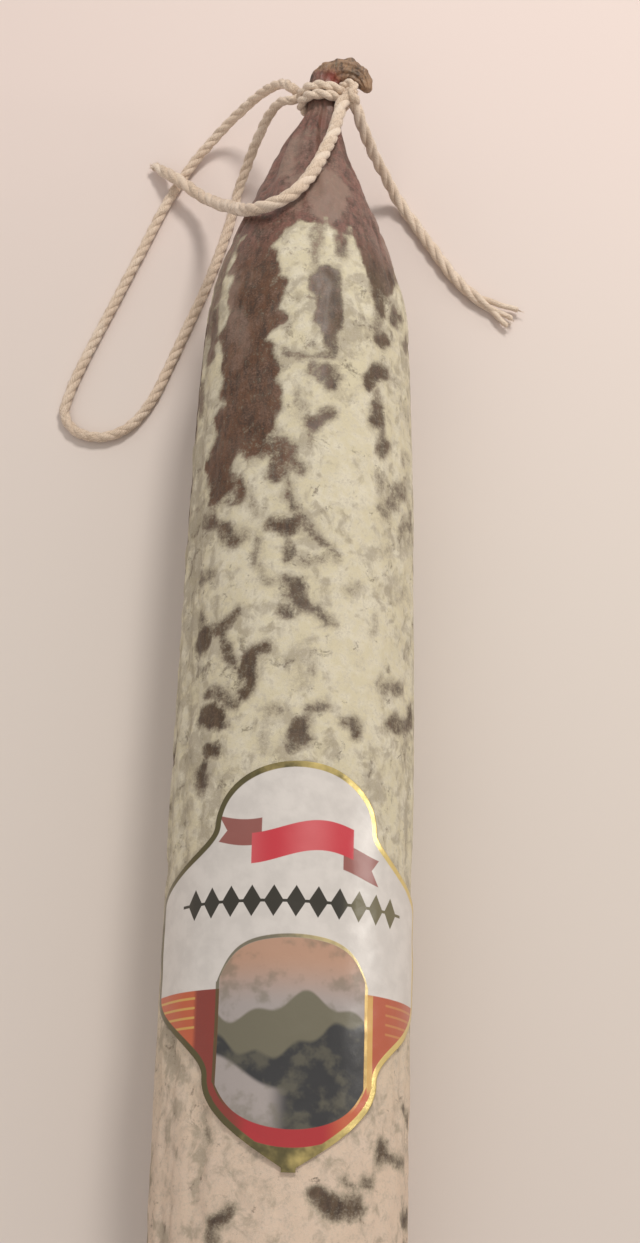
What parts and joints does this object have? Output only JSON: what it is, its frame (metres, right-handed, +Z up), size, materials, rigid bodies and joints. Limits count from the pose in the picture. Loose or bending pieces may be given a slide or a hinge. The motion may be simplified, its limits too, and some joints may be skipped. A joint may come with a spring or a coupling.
{
  "type": "cured sausage",
  "caption": "Whole dry-cured sausage with a mouldy white casing, string-tied ends with a hanging loop and cut tails, and a plain shaped paper label, lying on its side.",
  "frame": {"origin": "on the resting surface, under the middle of the sausage", "axes": "+Z up, +Y along the sausage towards the end with the string loop, +X to the right when the label is seen from above with that end up"},
  "size_m": [0.1114, 0.3523, 0.0523],
  "materials": {
    "casing": "dry natural casing under patchy white mould, with bare reddish-brown patches",
    "string": "matt undyed three-strand cotton twine",
    "label_paper": "glossy coated paper with a gold foil border"
  },
  "bodies": {
    "root": {"sausage": "casing", "neck_tie": "string", "lower_tie": "string", "string_loop": "string", "string_tail_short": "string", "string_tail_frayed": "string", "label": "label_paper"}
  },
  "joints": []
}
